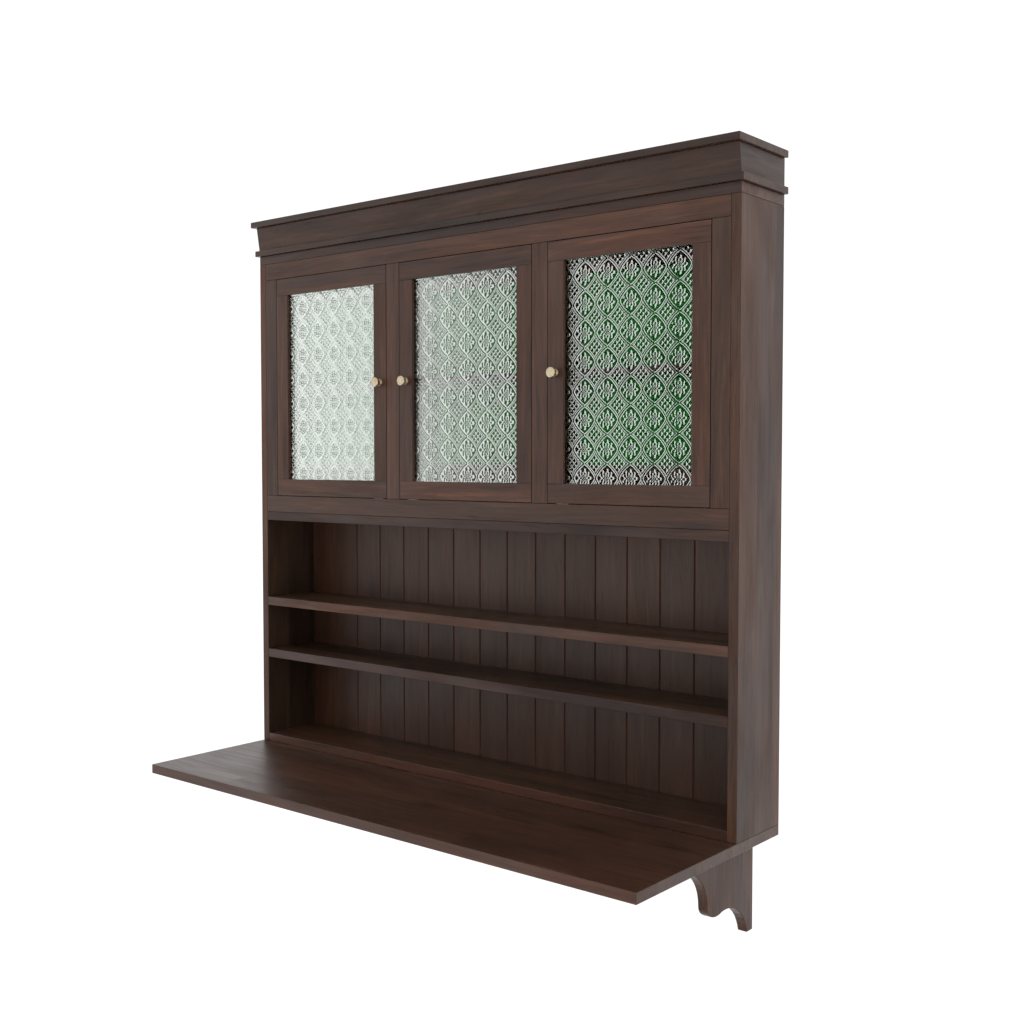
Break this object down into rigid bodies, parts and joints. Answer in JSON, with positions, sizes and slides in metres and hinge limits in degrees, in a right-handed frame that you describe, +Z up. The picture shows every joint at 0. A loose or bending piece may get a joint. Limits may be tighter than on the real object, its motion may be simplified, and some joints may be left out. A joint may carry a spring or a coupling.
{
  "type": "wall cabinet with desk shelf",
  "caption": "Wall-hung hutch of dark stained wood: glazed hinged doors above open plank-backed shelves, a crown, and a fixed desk board on shaped corbels.",
  "frame": {"origin": "centre of the desk board's back face, on the wall plane at the middle of the board's thickness", "axes": "+X along the wall to the right as seen from the room, +Y into the wall, +Z up; the front faces -Y"},
  "size_m": [1.2598, 0.4572, 1.397],
  "materials": {
    "walnut_stain": "dark walnut stain under satin lacquer",
    "inside_stain": "dark walnut stain, low sheen",
    "green_paint": "green paint",
    "clear_glass": "clear glass pressed with a diamond and floret lattice",
    "brass": "pale satin brass",
    "browned_brass": "brass browned with age"
  },
  "bodies": {
    "case": {"desk_top": "walnut_stain", "side_panel_left": "walnut_stain", "side_panel_right": "walnut_stain", "bottom_board": "walnut_stain", "lower_shelf": "walnut_stain", "upper_shelf": "walnut_stain", "cupboard_floor": "walnut_stain", "case_top": "walnut_stain", "divider_left": "inside_stain", "divider_right": "inside_stain", "inner_shelf_left": "inside_stain", "inner_shelf_middle": "inside_stain", "inner_shelf_right": "inside_stain", "hanging_rail_top": "inside_stain", "hanging_rail_bottom": "inside_stain", "back_boards": "inside_stain", "cupboard_back": "green_paint", "frame_top_rail": "walnut_stain", "frame_bottom_rail": "walnut_stain", "frame_stile_left": "walnut_stain", "frame_stile_right": "walnut_stain", "mullion_left": "walnut_stain", "mullion_right": "walnut_stain", "crown_base": "walnut_stain", "crown_front": "walnut_stain", "crown_return_left": "walnut_stain", "crown_return_right": "walnut_stain", "crown_cap": "walnut_stain", "corbel_left": "walnut_stain", "corbel_right": "walnut_stain", "hinge_left_top_frame_leaf": "browned_brass", "hinge_left_bottom_frame_leaf": "browned_brass", "hinge_middle_top_frame_leaf": "browned_brass", "hinge_middle_bottom_frame_leaf": "browned_brass", "hinge_right_top_frame_leaf": "browned_brass", "hinge_right_bottom_frame_leaf": "browned_brass"},
    "door_left": {"door_left_rail_top": "walnut_stain", "door_left_rail_bottom": "walnut_stain", "door_left_stile_left": "walnut_stain", "door_left_stile_right": "walnut_stain", "door_left_glass": "clear_glass", "door_left_knob": "brass", "hinge_left_top_door_leaf": "browned_brass", "hinge_left_bottom_door_leaf": "browned_brass"},
    "door_middle": {"door_middle_rail_top": "walnut_stain", "door_middle_rail_bottom": "walnut_stain", "door_middle_stile_left": "walnut_stain", "door_middle_stile_right": "walnut_stain", "door_middle_glass": "clear_glass", "door_middle_knob": "brass", "hinge_middle_top_door_leaf": "browned_brass", "hinge_middle_bottom_door_leaf": "browned_brass"},
    "door_right": {"door_right_rail_top": "walnut_stain", "door_right_rail_bottom": "walnut_stain", "door_right_stile_left": "walnut_stain", "door_right_stile_right": "walnut_stain", "door_right_glass": "clear_glass", "door_right_knob": "brass", "hinge_right_top_door_leaf": "browned_brass", "hinge_right_bottom_door_leaf": "browned_brass"}
  },
  "joints": [
    {"name": "door_left_hinge", "type": "hinge", "parent": "case", "child": "door_left", "pos_m": [-0.55305, -0.1469, 0.8255], "axis": [0, 0, -1], "range_deg": [0, 100]},
    {"name": "door_middle_hinge", "type": "hinge", "parent": "case", "child": "door_middle", "pos_m": [0.16322, -0.1469, 0.8255], "axis": [0, 0, 1], "range_deg": [0, 100]},
    {"name": "door_right_hinge", "type": "hinge", "parent": "case", "child": "door_right", "pos_m": [0.55305, -0.1469, 0.8255], "axis": [0, 0, 1], "range_deg": [0, 100]}
  ]
}
